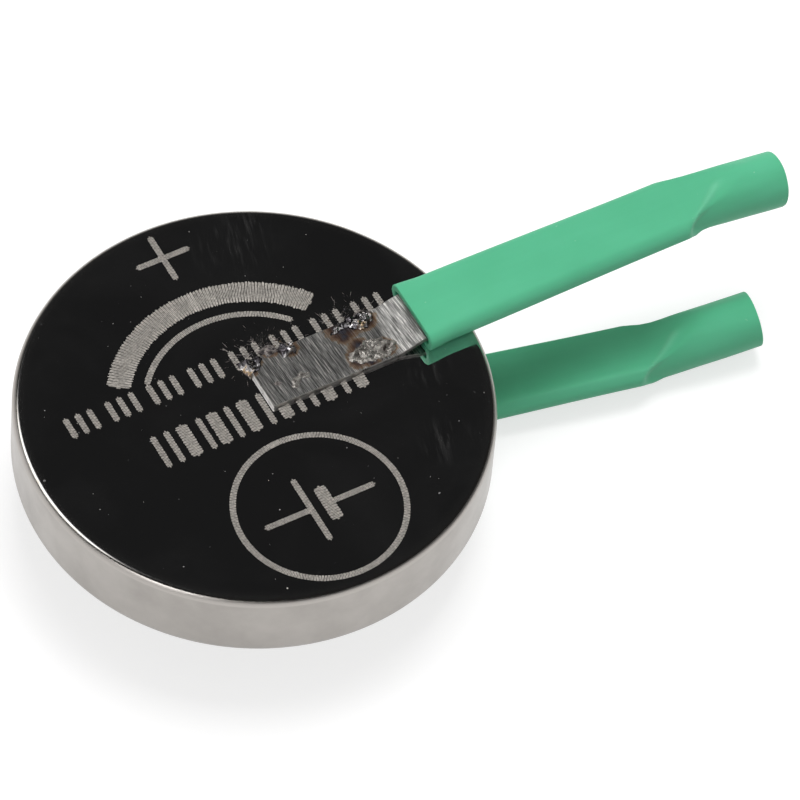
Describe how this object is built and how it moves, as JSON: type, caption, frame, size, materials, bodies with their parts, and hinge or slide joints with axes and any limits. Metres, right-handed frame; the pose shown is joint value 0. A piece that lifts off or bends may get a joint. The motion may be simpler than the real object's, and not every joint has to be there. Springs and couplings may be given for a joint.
{
  "type": "lithium coin cell",
  "caption": "Round lithium coin cell, positive face up, with spot-welded flat metal tags that run off to one side in green insulating sleeves.",
  "frame": {"origin": "centre of the negative cap's flat face, on the axis of the cell", "axes": "+X along the positive tag towards its sleeve's open end, +Z out of the positive face, up"},
  "size_m": [0.0405, 0.023, 0.0092],
  "materials": {
    "can_steel": "stainless steel, mirror-dark polished face with laser marks, satin wall",
    "cap_steel": "stainless steel, satin",
    "gasket_plastic": "black moulded sealing ring",
    "cathode_mix": "pressed black powder",
    "collector_steel": "thin stainless steel",
    "separator_felt": "white non-woven felt",
    "lithium_metal": "soft silvery metal",
    "tag_nickel": "nickel strip, brushed, heat-tinted round the welds",
    "sleeve_green": "thin green insulating tube, satin"
  },
  "bodies": {
    "root": {"can": "can_steel", "cap": "cap_steel", "gasket": "gasket_plastic", "cathode_pellet": "cathode_mix", "collector_ring": "collector_steel", "separator": "separator_felt", "lithium_anode": "lithium_metal", "positive_tag": "tag_nickel", "negative_tag": "tag_nickel", "positive_sleeve": "sleeve_green", "negative_sleeve": "sleeve_green"}
  },
  "joints": []
}
